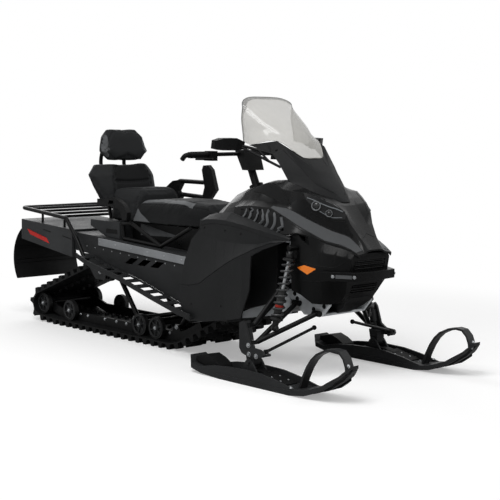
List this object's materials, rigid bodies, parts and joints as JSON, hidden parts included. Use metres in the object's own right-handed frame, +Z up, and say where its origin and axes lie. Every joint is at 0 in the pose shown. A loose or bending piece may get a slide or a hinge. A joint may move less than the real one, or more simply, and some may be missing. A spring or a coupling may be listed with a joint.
{
  "type": "snowmobile",
  "caption": "Two-up utility snowmobile on a lugged track: steered skis on A-arms, tall windshield, passenger backrest and rear rack.",
  "frame": {"origin": "on the floor, under the middle of the whole length and width", "axes": "+X forwards along the length, +Y to the left, +Z up"},
  "size_m": [3.3, 1.14, 1.472],
  "materials": {
    "track_rubber": "moulded rubber",
    "wheel_rubber": "rubber rim on moulded web",
    "frame_black": "black powder coat",
    "board_black": "black coated sheet",
    "tunnel_black": "black coated sheet",
    "trim_grey": "grey satin",
    "body_satin": "satin moulded",
    "lens_red": "red lens",
    "flap_rubber": "moulded rubber sheet",
    "body_black": "black moulded",
    "seat_vinyl": "grained vinyl",
    "base_grey": "grey moulded",
    "handle_plastic": "black moulded",
    "panel_satin": "dark grey satin",
    "body_gloss": "black gloss",
    "lens_clear": "dark clear lens",
    "control_black": "black grips and controls",
    "screen": "tinted polycarbonate",
    "lens_amber": "amber reflector",
    "cast_grey": "cast",
    "spring_black": "black springs and dampers",
    "spindle_black": "forged, coated",
    "ski_plastic": "dark grey moulded",
    "pad_rubber": "rubber"
  },
  "bodies": {
    "root": {"track": "track_rubber", "rail_wheels": "wheel_rubber", "idler_axles": "wheel_rubber", "skid_arms": "frame_black", "slide_rails": "frame_black", "skid_shock": "frame_black", "drive_axle": "frame_black", "running_board_right": "board_black", "running_board_left": "board_black", "tunnel": "tunnel_black", "side_trims": "trim_grey", "tail_cover": "body_satin", "tail_lamps": "lens_red", "snow_flap": "flap_rubber", "hitch": "frame_black", "rear_rack": "frame_black", "seat_pedestal": "body_black", "driver_seat": "seat_vinyl", "seat_frames": "frame_black", "passenger_base": "base_grey", "passenger_seat": "seat_vinyl", "backrest_cushion": "seat_vinyl", "headrest": "seat_vinyl", "backrest_frame": "frame_black", "grab_handles": "handle_plastic", "side_panel_right": "panel_satin", "side_panel_left": "panel_satin", "hood": "body_gloss", "headlamps": "lens_clear", "console": "body_black", "windshield_cowl": "body_gloss", "windshield": "screen", "mirrors": "handle_plastic", "nose": "body_black", "side_reflectors": "lens_amber", "front_bumper": "body_black", "belly_pan": "body_black", "front_frame": "cast_grey", "engine": "cast_grey", "lower_arms": "frame_black", "upper_arms": "frame_black", "front_shocks": "spring_black"},
    "steering": {"handlebar": "control_black"},
    "spindle_right": {"spindle_right": "spindle_black"},
    "spindle_left": {"spindle_left": "spindle_black"},
    "tie_right": {"tie_rod_right": "frame_black"},
    "tie_left": {"tie_rod_left": "frame_black"},
    "ski_right": {"ski_right": "ski_plastic", "ski_pad_right": "pad_rubber"},
    "ski_left": {"ski_left": "ski_plastic", "ski_pad_left": "pad_rubber"}
  },
  "joints": [
    {"name": "steering", "type": "hinge", "parent": "root", "child": "steering", "pos_m": [0.455, 0, 0.98], "axis": [-0.4202, 0, 0.9074], "range_deg": [-25, 25]},
    {"name": "kingpin_right", "type": "hinge", "parent": "root", "child": "spindle_right", "pos_m": [0.955, -0.482, 0.117], "axis": [-0.2535, 0, 0.9673], "range_deg": [-25.5, 25.5]},
    {"name": "tie_end_right", "type": "hinge", "parent": "spindle_right", "child": "tie_right", "pos_m": [1.052, -0.486, 0.172], "axis": [-0.2535, 0, 0.9673], "range_deg": [-25.5, 25.5]},
    {"name": "ski_pitch_right", "type": "hinge", "parent": "spindle_right", "child": "ski_right", "pos_m": [0.96, -0.482, 0.105], "axis": [0, 1, 0], "range_deg": [-15, 10]},
    {"name": "kingpin_left", "type": "hinge", "parent": "root", "child": "spindle_left", "pos_m": [0.955, 0.482, 0.117], "axis": [-0.2535, 0, 0.9673], "range_deg": [-25.5, 25.5]},
    {"name": "tie_end_left", "type": "hinge", "parent": "spindle_left", "child": "tie_left", "pos_m": [1.052, 0.486, 0.172], "axis": [-0.2535, 0, 0.9673], "range_deg": [-25.5, 25.5]},
    {"name": "ski_pitch_left", "type": "hinge", "parent": "spindle_left", "child": "ski_left", "pos_m": [0.96, 0.482, 0.105], "axis": [0, 1, 0], "range_deg": [-15, 10]}
  ],
  "couplings": [
    {"joint": "kingpin_right", "follows": "steering", "ratio": 1},
    {"joint": "tie_end_right", "follows": "steering", "ratio": -1},
    {"joint": "kingpin_left", "follows": "steering", "ratio": 1},
    {"joint": "tie_end_left", "follows": "steering", "ratio": -1}
  ]
}
